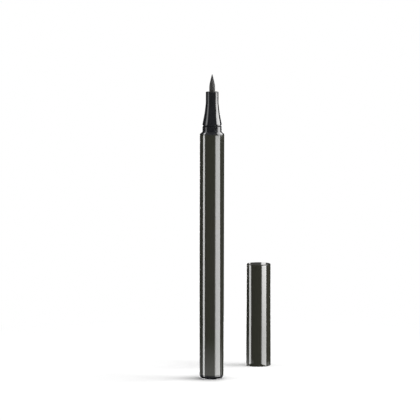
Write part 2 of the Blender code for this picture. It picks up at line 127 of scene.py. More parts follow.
# Cap shell, liner and seal cup
CAP_TAPER_DROP = 0.17 * MM
CAP_SHARES = ((0.0, 0.0), (0.1, 0.05), (0.28, 0.26), (0.45, 0.6), (0.72, 0.88), (1.0, 1.0))
CAP_WALL = 0.35 * MM
CAP_TOP_WALL = 0.4 * MM
CAP_TOP_EDGE = 0.3 * MM
CAP_MOUTH_EDGE = 0.16 * MM
LINER_LEAD_IN = 0.25 * MM
BEAD_WIDTH = 0.5 * MM
BEAD_HEIGHT = 0.1 * MM
COLLAR_GAP = 0.1 * MM
BEAD_RISE = 2.1 * MM
LEDGE_HEIGHT = 0.8 * MM
LEDGE_BORE = 3.629 * MM
LINER_BORE = 3.97 * MM
SEAL_LIP_SHARE = 0.46
SEAL_WALL_SHARE = 0.6
SEAL_CEILING_WALL = 0.42 * MM
SEAL_FLANGE_HEIGHT = 0.7 * MM
SEAL_BOSS_HEIGHT = 1.0 * MM
SEAL_FILLET = 0.1 * MM

# Seal spring
SPRING_WIRE = 0.4 * MM
SPRING_TURNS = 9
SPRING_POINTS_PER_TURN = 36
SPRING_WIRE_SIDES = 12
SPRING_END_TURNS_SHARE = 0.1
SPRING_END_PITCH = 0.62 * MM

# Materials: the dark and the light end of each pattern's colour and roughness, the pattern's
# cells per metre, and the depth of its bumps
NOISE_SPAN = (0.3, 0.7)
COAT_ROUGHNESS = 0.03
COAT_BUMP = (350.0, 0.0004 * MM)
LACQUER_COLOURS = ((0.0278, 0.0282, 0.0208), (0.042, 0.0425, 0.0338))
LACQUER_ROUGHNESS = (0.34, 0.5)
FLAKE_CELLS = 9000.0
BLACK_COLOURS = ((0.0138, 0.0144, 0.0162), (0.0174, 0.018, 0.0204))
BLACK_ROUGHNESS = (0.02, 0.035)
BLACK_CELLS = 400.0
BLACK_BUMP = (500.0, 0.0005 * MM)
STEEL_COLOURS = ((0.52, 0.52, 0.52), (0.66, 0.66, 0.65))
STEEL_ROUGHNESS = (0.16, 0.3)
STEEL_CELLS = 3000.0
STEEL_STRETCH = (1.0, 1.0, 6.0)
SATIN_CELLS = 300.0
FIBRE_CELLS = 9000.0
FIBRE_STRETCH = (1.0, 1.0, 0.05)
FIBRE_SPECULAR = 0.2
ROUGHNESS_SHARES = (0.85, 1.15)
SUBSURFACE_RADIUS = (0.6 * MM, 0.6 * MM, 0.55 * MM)
GLOSS_IOR = 1.5
SATIN_IOR = 1.49
FIBRE_IOR = 1.45

# Satin mouldings: colours, mean roughness, the bumps' cells per metre and depth, and how much
# light they let in
SATIN = {
    "satin_black_moulding": (
        ((0.017, 0.017, 0.019), (0.023, 0.023, 0.025)), 0.45, (6000.0, 0.002 * MM), 0.0
    ),
    "natural_polypropylene": (
        ((0.69, 0.7, 0.67), (0.75, 0.76, 0.73)), 0.4, (3000.0, 0.002 * MM), 0.3
    ),
    "white_moulding": (
        ((0.77, 0.77, 0.75), (0.83, 0.83, 0.81)), 0.35, (4000.0, 0.0015 * MM), 0.1
    ),
}

# Bonded fibres: colours, mean roughness and depth of the bumps
FIBRES = {
    "ink_stained_wick": (((0.25, 0.21, 0.18), (0.45, 0.39, 0.34)), 0.9, 0.02 * MM),
    "inked_felt": (((0.034, 0.033, 0.032), (0.051, 0.05, 0.049)), 0.6, 0.002 * MM),
}

# Softboxes, seen only in reflections, in millimetres and degrees: radius round the pen, azimuths
# from the camera's side to the right at base and top, heights, strengths at base and top, and the
# shares over which the sides fade
SOFTBOXES = (
    ("right_low", 600.0, (27.5, 104.0), (25.5, 81.5), (-260.0, 44.6), (10.7, 10.7), (0.28, 0.06)),
    ("left_low", 600.0, (-90.0, -64.5), (-93.5, -70.0), (-260.0, 44.6), (11.6, 10.6), (0.12, 0.12)),
    ("right_high", 600.0, (68.0, 114.0), (64.0, 114.0), (44.6, 200.0), (9.0, 13.0), (0.15, 0.06)),
    ("right_top", 600.0, (60.0, 114.0), (48.0, 114.0), (200.0, 420.0), (13.0, 16.0), (0.15, 0.06)),
    ("left_collar", 600.0, (-90.0, -66.0), (-90.0, -66.0), (44.6, 53.0), (2.4, 2.4), (0.25, 0.2)),
    ("left_high", 600.0, (-90.0, -57.0), (-90.0, -57.0), (53.0, 420.0), (2.3, 5.0), (0.25, 0.25)),
    ("right_over", 300.0, (115.0, 160.0), (115.0, 160.0), (240.0, 620.0), (6.0, 6.0), (0.2, 0.2)),
    ("left_over", 300.0, (-152.0, -132.0), (-152.0, -132.0), (385.0, 465.0), (7.0, 7.0), (0.2, 0.2)),
    ("back", 600.0, (173.0, 187.0), (173.0, 187.0), (-260.0, 60.0), (8.0, 8.0), (0.3, 0.3)),
)
PANEL_STEPS = 48

# Bright cards close to the cap, seen only in reflections, in millimetres: ends in the plane, how
# far the base is set forward, heights, strengths at base and top, and the shares over which the
# sides fade. A see-through one adds to what lies behind it
CARDS = (
    ("cap_right_card", ((28.0, 20.6), (38.9, 35.8)), 0.0, (8.0, 43.0), (0.0, 6.8), (0.15, 0.1), True),
    ("cap_left_card", ((2.0, 33.0), (2.0, 40.2)), 2.9, (-10.0, 43.0), (10.0, 10.4), (0.1, 0.1), False),
    ("cap_back_card", ((12.0, 47.0), (26.4, 47.0)), 0.0, (41.5, 45.0), (0.07, 0.07), (0.1, 0.1), False),
    ("cap_back_left", ((15.2, 46.5), (16.0, 46.5)), 0.0, (41.5, 45.0), (1.1, 1.1), (0.3, 0.3), False),
    ("cap_back_right", ((20.0, 46.5), (22.4, 46.5)), 0.0, (41.5, 45.0), (1.4, 1.4), (0.3, 0.15), False),
)

# Black screens and flags close to the cap and the pen, seen only in reflections, in millimetres:
# ends in the plane, how far the base is set forward, and heights
FLAGS = (
    ("cap_left_screen", ((2.0, 20.0), (2.0, 33.0)), 2.9, (-10.0, 43.0)),
    ("cap_front_screen", ((7.0, 25.0), (24.5, 25.0)), 0.0, (-10.0, 43.0)),
    ("cap_right_screen", ((36.0, 32.8), (36.0, 45.0)), 0.0, (-10.0, 43.0)),
    ("cap_top_right_flag", ((30.0, 26.0), (30.0, 48.0)), 0.0, (43.0, 52.0)),
    ("cap_top_left_flag", ((8.0, 26.0), (8.0, 48.0)), 0.0, (43.0, 52.0)),
    ("cap_front_flag", ((19.15, 34.15), (19.1, 28.8)), 0.0, (-3.0, 42.0)),
    ("cap_right_flag", ((24.27, 40.19), (29.9, 41.2)), 0.0, (-3.0, 42.0)),
    ("pen_front_flag", ((0.0, -4.95), (0.0, -10.3)), 0.0, (-3.0, 98.6)),
    ("pen_right_flag", ((4.92, 0.87), (10.6, 1.87)), 0.0, (-3.0, 98.6)),
)

# Black screen on the floor by the cap, and the walls and ceiling round the set
CAP_SCREEN_PLACE = (0.0165, 0.031)
CAP_SCREEN_RADIUS = 9.0 * MM
CAP_SCREEN_HEIGHT = 0.02 * MM
CEILING_STRENGTH = 0.35
SURROUND_RADIUS = 900.0 * MM
SURROUND_BASE = -400.0 * MM
SURROUND_TOP = 700.0 * MM

# Lamps for matt surfaces: azimuth and elevation in degrees, width and height in metres, and power
LAMPS = (
    ("key_lamp", 88.0, 40.0, 0.6, 0.6, 5.0),
    ("top_lamp", 200.0, 80.0, 0.7, 0.7, 1.0),
    ("left_lamp", -82.0, 25.0, 0.3, 0.6, 1.5),
    ("front_lamp", 12.0, 25.0, 1.0, 1.0, 3.6),
)
LAMP_DISTANCE = 0.8
LAMP_TARGET = Vector((8.0, 15.0, 40.0)) * MM
WORLD_FILL = 0.2

# Floor: its glow for the camera, the shadow close to what stands on it, where it goes to plain
# white, and how it shows in gloss. Reaches are distances in metres
FLOOR_RADIUS = 900.0 * MM
FLOOR_COLOUR = 0.95
FLOOR_GLOW = 0.18
CONTACT_DISTANCE = 12.0 * MM
CONTACT_SHADOW = (1.1, 0.3)
CONTACT_REACH = (0.01, 0.04)
CONTACT_RIGHT_SHARE = 0.3
CONTACT_RIGHT_REACH = (0.001, 0.008)
WHITE_REACH = (0.06, 0.18)
# No shine at the pen's foot: painted contact shadow in the floor's reflection
SHINE_START = (0.0045, 0.0125)
SHINE_REACH = (0.025, 0.125)
SHINE_STRENGTH = 1.2
# Less shine to the left and behind: painted shadow of the pen in the floor's reflection
SHINE_LEFT_BEHIND = (-0.819, 0.574, 0.0)
SHINE_LEFT_FACING = (0.3, 0.75)
SHINE_LEFT_SHARE = 0.3


def size_of(node):
    """A CAD node's axis in the plane, its radius, and the heights of its two ends."""
    low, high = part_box(node)
    return ((low.x + high.x) / 2, (low.y + high.y) / 2), (high.x - low.x) / 2, low.z, high.z


pen_axis, barrel_radius, sleeve_base, sleeve_top = size_of("barrel_sleeve")
cap_axis, cap_mouth_radius, cap_base, cap_top = size_of("cap_shell")


def guard_distance(side, reach, fillet):
    """How far from a corner the guard point on one of its sides lies."""
    return reach + min((side - reach) * GUARD_SHARE, fillet * GUARD_REACH)


def rounded(outline, closed):
    """Points of an outline whose corners (radius, height, fillet) become arcs of that fillet.

    A guard point on each side of an arc keeps the shading of the sides straight.
    """
    points = []
    last = len(outline) - 1
    for place, (r, z, *fillet) in enumerate(outline):
        if not fillet or (not closed and place in (0, last)):
            points.append((r, z))
            continue
        before, after = outline[place - 1], outline[(place + 1) % len(outline)]
        back = math.atan2(before[1] - z, before[0] - r)
        ahead = math.atan2(after[1] - z, after[0] - r)
        turn = (ahead - back + math.pi) % math.tau - math.pi
        reach = fillet[0] / math.tan(abs(turn) / 2)
        middle = back + turn / 2
        far = fillet[0] / math.sin(abs(turn) / 2)
        centre = (r + far * math.cos(middle), z + far * math.sin(middle))
        start = (r + reach * math.cos(back), z + reach * math.sin(back))
        angle = math.atan2(start[1] - centre[1], start[0] - centre[0])
        sweep = math.copysign(math.pi - abs(turn), -turn)
        guard = guard_distance(math.dist(before[:2], (r, z)), reach, fillet[0])
        points.append((r + guard * math.cos(back), z + guard * math.sin(back)))
        for step in range(ARC_STEPS + 1):
            at = angle + sweep * step / ARC_STEPS
            points.append((centre[0] + fillet[0] * math.cos(at), centre[1] + fillet[0] * math.sin(at)))
        guard = guard_distance(math.dist(after[:2], (r, z)), reach, fillet[0])
        points.append((r + guard * math.cos(ahead), z + guard * math.sin(ahead)))
    return points


def new_piece(name, shape, body, node, material):
    """A piece from a bmesh, which stands for a CAD node and rides on its body."""
    bmesh.ops.recalc_face_normals(shape, faces=shape.faces)
    mesh = bpy.data.meshes.new(name)
    shape.to_mesh(mesh)
    shape.free()
    mesh.shade_smooth()
    mesh.set_sharp_from_angle(angle=SHARP_ANGLE)
    mesh.materials.append(material)
    piece = bpy.data.objects.new(name, mesh)
    bpy.context.scene.collection.objects.link(piece)
    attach(piece, body)
    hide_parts(node)
    return piece


def turned(node, outline, axis, body, material, closed=False, dent=None):
    """A turned piece round an axis. Its outline runs down the outer side, then back up the bore."""
    points = rounded(outline, closed)
    shape = bmesh.new()
    rings = []
    for r, z in points:
        if r == 0.0:
            rings.append([shape.verts.new((*axis, z))] * SEGMENTS)
            continue
        ring = []
        for step in range(SEGMENTS):
            angle = math.tau * step / SEGMENTS
            across = dent(r, angle) if dent else r
            place = (axis[0] + across * math.cos(angle), axis[1] + across * math.sin(angle), z)
            ring.append(shape.verts.new(place))
        rings.append(ring)
    pairs = list(zip(rings, rings[1:]))
    if closed:
        pairs.append((rings[-1], rings[0]))
    for upper, lower in pairs:
        for step in range(SEGMENTS):
            after = (step + 1) % SEGMENTS
            corners = [upper[step], upper[after], lower[after], lower[step]]
            shape.faces.new(list(dict.fromkeys(corners)))
    return new_piece(f"{node}_fine", shape, body, node, material)


def between(shares, share):
    """A smooth curve through (place, value) pairs, read at a place."""
    last = len(shares) - 1
    index = 0
    while index < last - 1 and share > shares[index + 1][0]:
        index += 1
    slopes = []
    for at in (index, index + 1):
        low, high = shares[max(at - 1, 0)], shares[min(at + 1, last)]
        slopes.append((high[1] - low[1]) / (high[0] - low[0]))
    (x0, y0), (x1, y1) = shares[index], shares[index + 1]
    run = x1 - x0
    t = min(max((share - x0) / run, 0.0), 1.0)
    start, end = slopes[0] * run, slopes[1] * run
    return (
        y0 * (1 + 2 * t) * (1 - t) ** 2
        + start * t * (1 - t) ** 2
        + y1 * t**2 * (3 - 2 * t)
        - end * t**2 * (1 - t)
    )


def sleeve_side(inset):
    """Points down the sleeve's side, set in from its outer face."""
    points = []
    for step in range(TAPER_STEPS + 1):
        share = 1 - step / TAPER_STEPS
        drop = TAIL_TAPER_DROP * (1 - share**TAIL_TAPER_POWER)
        points.append((barrel_radius - inset - drop, sleeve_base + TAIL_TAPER_LENGTH * share))
    return points


def make_barrel_sleeve(lacquer):
    """The tube of the barrel, drawn in towards the tail."""
    outer, inner = sleeve_side(0.0), sleeve_side(SLEEVE_WALL)
    outline = [
        (barrel_radius, sleeve_top, RIM_FILLET),
        *outer[:-1],
        (*outer[-1], RIM_FILLET),
        *reversed(inner),
        (barrel_radius - SLEEVE_WALL, sleeve_top),
    ]
    turned("barrel_sleeve", outline, pen_axis, "pen", lacquer, closed=True)


def make_tail_plug(black):
    """The domed button at the tail, with its spigot in the sleeve."""
    _, _, base, spigot_top = size_of("tail_plug")
    rim = barrel_radius - TAIL_TAPER_DROP - BUTTON_INSET
    spigot = barrel_radius - SLEEVE_WALL - TAIL_TAPER_DROP - PRESS_GAP
    button_top = sleeve_base - END_GAP
    dome = []
    for step in range(DOME_STEPS):
        angle = math.pi / 2 * step / DOME_STEPS
        across = TAIL_FACE_RADIUS + (rim - TAIL_FACE_RADIUS) * math.cos(angle)
        dome.append((across, base + (button_top - base) * (1 - math.sin(angle))))
    outline = [
        (0.0, TAIL_FLOOR),
        (spigot - TAIL_SPIGOT_WALL, TAIL_FLOOR),
        (spigot - TAIL_SPIGOT_WALL, spigot_top),
        (spigot, spigot_top),
        (spigot, button_top),
        *dome,
        (TAIL_FACE_RADIUS, base),
        (0.0, base),
    ]
    turned("tail_plug", outline, pen_axis, "pen", black)


def flare_radius(share):
    """The section's radius between the neck (share 0) and the collar (share 1)."""
    bow = FLARE_BOW_SHARE * math.sin(math.pi * share)
    return NECK_RADIUS + (COLLAR_RADIUS - NECK_RADIUS) * (share - bow)


def make_front_section(black):
    """The black housing: neck, flare, collar with its groove, shoulder and spigot."""
    _, flange_radius, spigot_base, tip = size_of("front_section")
    _, holder_radius, holder_base, _ = size_of("nib_holder")
    collar_base = sleeve_top + SHOULDER_HEIGHT
    collar_top = collar_base + COLLAR_LENGTH
    groove = collar_top - GROOVE_DROP
    seat = collar_base + SEAT_HEIGHT
    holder_seat = holder_base - END_GAP
    flare = []
    for step in range(FLARE_STEPS):
        share = step / FLARE_STEPS
        flare.append((flare_radius(share), collar_top + FLARE_LENGTH * (1 - share)))
    outline = [
        (NECK_RADIUS, tip, NECK_EDGE),
        *flare,
        (COLLAR_RADIUS, collar_top, FLARE_FILLET),
        (COLLAR_RADIUS, groove + GROOVE_WIDTH / 2, GROOVE_FILLET),
        (COLLAR_RADIUS - GROOVE_DEPTH, groove - GROOVE_WIDTH / 2 + GROOVE_LIP, GROOVE_FILLET),
        (COLLAR_RADIUS, groove - GROOVE_WIDTH / 2, GROOVE_FILLET),
        (COLLAR_RADIUS, collar_base, SHOULDER_FILLET),
        (flange_radius, sleeve_top + SHOULDER_LAND, FLANGE_FILLET),
        (flange_radius, sleeve_top + PRESS_GAP / 2),
        (SPIGOT_RADIUS, sleeve_top + PRESS_GAP / 2),
        (SPIGOT_RADIUS, spigot_base),
        (SPIGOT_RADIUS - SPIGOT_WALL, spigot_base),
        (SPIGOT_RADIUS - SPIGOT_WALL, seat),
        (NOSE_BORE, seat),
        (NOSE_BORE, holder_seat),
        (holder_radius + PRESS_GAP, holder_seat),
        (holder_radius + PRESS_GAP, tip, HOLDER_EDGE),
    ]
    turned("front_section", outline, pen_axis, "pen", black, closed=True)


def make_nib(felt):
    """The felt tip, with a round end."""
    _, radius, base, tip = size_of("nib")
    point_base = tip - NIB_POINT_LENGTH
    outline = [(0.0, tip)]
    for step in range(1, TIP_STEPS + 1):
        angle = math.pi / 2 * step / TIP_STEPS
        outline.append((NIB_TIP_RADIUS * math.sin(angle), tip - NIB_TIP_RADIUS * (1 - math.cos(angle))))
    tip_share = 1 - NIB_TIP_RADIUS / NIB_POINT_LENGTH
    shares = (*NIB_SHARES, (tip_share, NIB_TIP_RADIUS / radius))
    for step in range(1, NIB_STEPS + 1):
        share = tip_share * (1 - step / NIB_STEPS)
        outline.append((radius * between(shares, share), point_base + NIB_POINT_LENGTH * share))
    outline += [(radius, base), (0.0, base)]
    turned("nib", outline, pen_axis, "pen", felt)


def make_nib_holder(holder_black):
    """The bush round the nib, with its vents."""
    _, radius, base, top = size_of("nib_holder")
    bore = size_of("nib")[1] + PRESS_GAP
    vent_angle = math.tau / VENT_COUNT

    def vented(r, angle):
        off = (angle + vent_angle / 2) % vent_angle - vent_angle / 2
        return r - VENT_DEPTH if r > bore + VENT_DEPTH and abs(off) * radius < VENT_WIDTH / 2 else r

    outline = [(radius, top, HOLDER_EDGE), (radius, base), (bore, base), (bore, top, HOLDER_EDGE)]
    turned("nib_holder", outline, pen_axis, "pen", holder_black, closed=True, dent=vented)


def cap_side(low, high, inset):
    """Points down the cap's side, set in from its outer face, between two heights."""
    points = []
    for step in range(TAPER_STEPS + 1):
        height = high + (low - high) * step / TAPER_STEPS
        drop = CAP_TAPER_DROP * between(CAP_SHARES, (height - cap_base) / (cap_top - cap_base))
        points.append((cap_mouth_radius - drop - inset, height))
    return points


def make_cap_shell(lacquer):
    """The cap's outer cup."""
    ceiling = cap_top - CAP_TOP_WALL
    side = cap_side(cap_base, cap_top, 0.0)
    bore = cap_side(cap_base, ceiling, CAP_WALL)
    outline = [
        (0.0, cap_top),
        (*side[0], CAP_TOP_EDGE),
        *side[1:-1],
        (*side[-1], CAP_MOUTH_EDGE),
        *reversed(bore),
        (0.0, ceiling),
    ]
    turned("cap_shell", outline, cap_axis, "cap", lacquer)


def make_cap_liner(natural):
    """The cap's lining, with its snap bead and the ledge under the seal cup."""
    _, _, base, top = size_of("cap_liner")
    ledge_top = size_of("seal_cup")[2] - PRESS_GAP
    collar_bore = COLLAR_RADIUS + COLLAR_GAP
    bead = base + BEAD_RISE
    side = cap_side(base, top, CAP_WALL + PRESS_GAP)
    outline = [
        *side,
        (collar_bore + LINER_LEAD_IN, base),
        (collar_bore, base + LINER_LEAD_IN),
        (collar_bore, bead - BEAD_WIDTH / 2),
        (collar_bore - BEAD_HEIGHT, bead, BEAD_WIDTH / 2),
        (collar_bore, bead + BEAD_WIDTH / 2),
        (collar_bore, ledge_top - LEDGE_HEIGHT),
        (LEDGE_BORE, ledge_top - LEDGE_HEIGHT),
        (LEDGE_BORE, ledge_top),
        (LINER_BORE, ledge_top),
        (LINER_BORE, top),
    ]
    turned("cap_liner", outline, cap_axis, "cap", natural, closed=True)


def make_seal_cup(white):
    """The inner cup that seals on the flare."""
    _, flange_radius, base, boss_top = size_of("seal_cup")
    _, spring_radius, _, _ = size_of("seal_spring")
    bore = NECK_RADIUS + SEAL_LIP_SHARE * (COLLAR_RADIUS - NECK_RADIUS)
    radius = bore + SEAL_WALL_SHARE * (flange_radius - bore)
    top = boss_top - SEAL_BOSS_HEIGHT
    guide = spring_radius - SPRING_WIRE - 2 * SLIDE_GAP
    outline = [
        (0.0, boss_top),
        (guide, boss_top, SEAL_FILLET),
        (guide, top),
        (radius, top, SEAL_FILLET),
        (radius, base + SEAL_FLANGE_HEIGHT),
        (flange_radius, base + SEAL_FLANGE_HEIGHT, SEAL_FILLET),
        (flange_radius, base, SEAL_FILLET),
        (bore, base, SEAL_FILLET),
        (bore, top - SEAL_CEILING_WALL, SEAL_FILLET),
        (0.0, top - SEAL_CEILING_WALL),
    ]
    turned("seal_cup", outline, cap_axis, "seal", white)


def spring_height(share, low, high):
    """The wire's height at a share of its length: slow at both closed ends, steady between."""
    end = SPRING_END_TURNS_SHARE
    climb = SPRING_END_PITCH * SPRING_TURNS
    middle = (high - low - 2 * end * climb) / (1 - 2 * end)
    if share < end:
        return low + climb * share
    if share > 1 - end:
        return high - climb * (1 - share)
    return low + climb * end + middle * (share - end)


def make_seal_spring(steel):
    """The spring behind the seal cup, which shortens as the cup rises."""
    _, outer, low, high = size_of("seal_spring")
    radius = outer - SPRING_WIRE / 2
    count = SPRING_TURNS * SPRING_POINTS_PER_TURN
    shape = bmesh.new()
    rings = []
    for step in range(count + 1):
        angle = math.tau * step / SPRING_POINTS_PER_TURN
        out = Vector((math.cos(angle), math.sin(angle), 0.0))
        height = spring_height(step / count, low + SPRING_WIRE / 2, high - SPRING_WIRE / 2)
        centre = Vector((*cap_axis, height)) + out * radius
        ring = []
        for side in range(SPRING_WIRE_SIDES):
            turn = math.tau * side / SPRING_WIRE_SIDES
            offset = out * math.cos(turn) + Vector((0.0, 0.0, math.sin(turn)))
            ring.append(shape.verts.new(centre + offset * SPRING_WIRE / 2))
        rings.append(ring)
    for near, far in zip(rings, rings[1:]):
        for side in range(SPRING_WIRE_SIDES):
            after = (side + 1) % SPRING_WIRE_SIDES
            shape.faces.new((near[side], near[after], far[after], far[side]))
    shape.faces.new(rings[0])
    shape.faces.new(rings[-1])
    piece = new_piece("seal_spring_fine", shape, "cap", "seal_spring", steel)
    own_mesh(piece)


def add_node(tree, kind, **values):
    """A shader node, with the values of its named inputs."""
    made = tree.nodes.new(kind)
    for name, value in values.items():
        made.inputs[name.replace("_", " ")].default_value = value
    return made


def new_material(name, **values):
    """A material's node tree and its Principled shader, with the values of its named sockets."""
    material = bpy.data.materials.new(name)
    material.use_nodes = True
    shader = material.node_tree.nodes["Principled BSDF"]
    for socket, value in values.items():
        shader.inputs[socket.replace("_", " ")].default_value = value
    return material, material.node_tree, shader


def noise(tree, scale, stretch=(1.0, 1.0, 1.0), detail=3.0):
    """A noise pattern on the object's own coordinates, in cells per metre, stretched by axis."""
    place = tree.nodes.new("ShaderNodeTexCoord")
    mapping = add_node(tree, "ShaderNodeMapping", Scale=stretch)
    pattern = add_node(tree, "ShaderNodeTexNoise", Scale=scale, Detail=detail)
    tree.links.new(place.outputs["Object"], mapping.inputs["Vector"])
    tree.links.new(mapping.outputs["Vector"], pattern.inputs["Vector"])
    return pattern.outputs["Fac"]


def spread(tree, factor, low, high, start=NOISE_SPAN[0], end=NOISE_SPAN[1]):
    """A number that goes from low to high as the factor goes from start to end."""
    ramp = add_node(tree, "ShaderNodeMapRange", From_Min=start, From_Max=end, To_Min=low, To_Max=high)
    tree.links.new(factor, ramp.inputs["Value"])
    return ramp.outputs["Result"]


def tint(tree, shader, factor, colours):
    """Base colour that goes from the dark colour to the light one with the factor."""
    ramp = tree.nodes.new("ShaderNodeValToRGB")
    for element, place, colour in zip(ramp.color_ramp.elements, NOISE_SPAN, colours):
        element.position = place
        element.color = (*colour, 1.0)
    tree.links.new(factor, ramp.inputs["Fac"])
    tree.links.new(ramp.outputs["Color"], shader.inputs["Base Color"])


def roughen(tree, shader, factor, roughness):
    """Roughness that goes from its first value to its second with the factor."""
    tree.links.new(spread(tree, factor, *roughness), shader.inputs["Roughness"])


def bump(tree, shader, height, depth, socket="Normal"):
    """Bump of a depth in metres."""
    made = add_node(tree, "ShaderNodeBump", Strength=1.0, Distance=depth)
    tree.links.new(height, made.inputs["Height"])
    tree.links.new(made.outputs["Normal"], shader.inputs[socket])


def lacquer_material():
    """Dark gunmetal lacquer with fine flake, under a clear gloss coat."""
    material, tree, shader = new_material(
        "gunmetal_lacquer",
        Coat_Weight=1.0,
        Coat_Roughness=COAT_ROUGHNESS,
        Coat_IOR=GLOSS_IOR,
        Specular_IOR_Level=0.0,
    )
    flake = noise(tree, FLAKE_CELLS, detail=2.0)
    tint(tree, shader, flake, LACQUER_COLOURS)
    roughen(tree, shader, flake, LACQUER_ROUGHNESS)
    cells, depth = COAT_BUMP
    bump(tree, shader, noise(tree, cells, detail=1.0), depth, "Coat Normal")
    return material


def gloss_black_material():
    """Black moulded plastic with a high gloss."""
    material, tree, shader = new_material("gloss_black_moulding", IOR=GLOSS_IOR)
    cloud = noise(tree, BLACK_CELLS)
    tint(tree, shader, cloud, BLACK_COLOURS)
    roughen(tree, shader, cloud, BLACK_ROUGHNESS)
    cells, depth = BLACK_BUMP
    bump(tree, shader, noise(tree, cells, detail=1.0), depth)
    return material


def satin_material(name):
    """Satin moulded plastic: slight clouding, and a fine grain."""
    colours, roughness, (cells, depth), subsurface = SATIN[name]
    material, tree, shader = new_material(name, IOR=SATIN_IOR, Subsurface_Weight=subsurface)
    shader.inputs["Subsurface Radius"].default_value = SUBSURFACE_RADIUS
    shader.inputs["Subsurface Scale"].default_value = 1.0
    cloud = noise(tree, SATIN_CELLS)
    tint(tree, shader, cloud, colours)
    roughen(tree, shader, cloud, [roughness * share for share in ROUGHNESS_SHARES])
    bump(tree, shader, noise(tree, cells, detail=2.0), depth)
    return material


def fibre_material(name):
    """Bonded fibres that run along the axis."""
    colours, roughness, depth = FIBRES[name]
    material, tree, shader = new_material(name, IOR=FIBRE_IOR, Specular_IOR_Level=FIBRE_SPECULAR)
    strands = noise(tree, FIBRE_CELLS, FIBRE_STRETCH, detail=4.0)
    tint(tree, shader, strands, colours)
    roughen(tree, shader, strands, [roughness * share for share in reversed(ROUGHNESS_SHARES)])
    bump(tree, shader, strands, depth)
    return material


def steel_material():
    """Polished stainless steel with faint drawing marks."""
    material, tree, shader = new_material("polished_steel", Metallic=1.0)
    marks = noise(tree, STEEL_CELLS, STEEL_STRETCH)
    tint(tree, shader, marks, STEEL_COLOURS)
    roughen(tree, shader, marks, STEEL_ROUGHNESS)
    return material


def use_on_nodes(material, *nodes):
    """Gives CAD nodes that stay as they are their finished material."""
    for name in nodes:
        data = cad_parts[name].data
        data.materials.clear()
        data.materials.append(material)


def make_pieces():
    """Every piece that shows, and the finished materials of those that stay as they are."""
    lacquer = lacquer_material()
    black = gloss_black_material()
    holder_black = satin_material("satin_black_moulding")
    natural = satin_material("natural_polypropylene")
    white = satin_material("white_moulding")
    wick = fibre_material("ink_stained_wick")
    felt = fibre_material("inked_felt")
    steel = steel_material()

    make_barrel_sleeve(lacquer)
    make_tail_plug(black)
    make_front_section(black)
    make_nib(felt)
    make_nib_holder(holder_black)
    make_cap_shell(lacquer)
    make_cap_liner(natural)
    make_seal_cup(white)
    make_seal_spring(steel)

    use_on_nodes(natural, "ink_tank")
    use_on_nodes(white, "tank_rear_plug", "tank_front_plug", "collector", "liner_end_plug")
    use_on_nodes(steel, "mixing_ball_1", "mixing_ball_2")
    use_on_nodes(wick, "feed_wick")


def only_in_reflections(item):
    """Keeps a stage object out of everything but glossy rays."""
    item.visible_camera = False
    item.visible_diffuse = False
    item.visible_transmission = False
    item.visible_volume_scatter = False
    item.visible_shadow = False


def stage_object(name, mesh, material):
    """An object of the set, which is no part of the pen."""
    mesh.materials.append(material)
    item = bpy.data.objects.new(name, mesh)
    bpy.context.scene.collection.objects.link(item)
    return item


def math_node(tree, operation, first, second):
    """A sum, product or the like of two outputs or numbers."""
    made = tree.nodes.new("ShaderNodeMath")
    made.operation = operation
    for socket, value in zip(made.inputs, (first, second)):
        if isinstance(value, float):
            socket.default_value = value
        else:
            tree.links.new(value, socket)
    return made.outputs["Value"]


def emission_material(name, strength):
    """A plain emission material that lights nothing by itself."""
    material = bpy.data.materials.new(name)
    material.use_nodes = True
    tree = material.node_tree
    tree.nodes.clear()
    output = tree.nodes.new("ShaderNodeOutputMaterial")
    light = add_node(tree, "ShaderNodeEmission", Strength=strength)
    tree.links.new(light.outputs["Emission"], output.inputs["Surface"])
    material.cycles.emission_sampling = "NONE"
    return material, tree, light


def upright_panel(name, places, top_places, heights, material):
    """An upright panel from places in the plane to those above, with U running along it and V up it."""
    shape = bmesh.new()
    layer = shape.loops.layers.uv.new("UVMap")
    columns = []
    for place, top_place in zip(places, top_places):
        columns.append((shape.verts.new((*place, heights[0])), shape.verts.new((*top_place, heights[1]))))
    steps = len(places) - 1
    for step, (near, far) in enumerate(zip(columns, columns[1:])):
        face = shape.faces.new((near[0], far[0], far[1], near[1]))
        for loop, (u, v) in zip(face.loops, ((0, 0), (1, 0), (1, 1), (0, 1))):
            loop[layer].uv = ((step + u) / steps, v)
    mesh = bpy.data.meshes.new(name)
    shape.to_mesh(mesh)
    shape.free()
    return stage_object(name, mesh, material)


def places_round(radius, azimuths):
    """Places on a circle round the pen, between two azimuths from the camera's side."""
    places = []
    for step in range(PANEL_STEPS + 1):
        angle = math.radians(azimuths[0] + (azimuths[1] - azimuths[0]) * step / PANEL_STEPS)
        places.append((radius * math.sin(angle), -radius * math.cos(angle)))
    return places


def faded_material(name, strengths, soft_sides):
    """Emission with a strength at its base and its top, which fades over shares of its sides."""
    material, tree, light = emission_material(name, 1.0)
    place = tree.nodes.new("ShaderNodeUVMap")
    parts = tree.nodes.new("ShaderNodeSeparateXYZ")
    tree.links.new(place.outputs["UV"], parts.inputs["Vector"])
    power = spread(tree, parts.outputs["Y"], *strengths, 0.0, 1.0)
    for start, soft in ((0.0, soft_sides[0]), (1.0, -soft_sides[1])):
        if soft == 0.0:
            continue
        fade = add_node(tree, "ShaderNodeMapRange", From_Min=start, From_Max=start + soft)
        fade.interpolation_type = "SMOOTHSTEP"
        tree.links.new(parts.outputs["X"], fade.inputs["Value"])
        power = math_node(tree, "MULTIPLY", power, fade.outputs["Result"])
    tree.links.new(power, light.inputs["Strength"])
    return material, tree, light


def make_softboxes():
    """Softboxes seen only in reflections."""
    for name, radius, azimuths, top_azimuths, heights, strengths, soft_sides in SOFTBOXES:
        name = f"{name}_softbox"
        material, _, _ = faded_material(name, strengths, soft_sides)
        heights = [height * MM for height in heights]
        base, top = (places_round(radius * MM, each) for each in (azimuths, top_azimuths))
        only_in_reflections(upright_panel(name, base, top, heights, material))


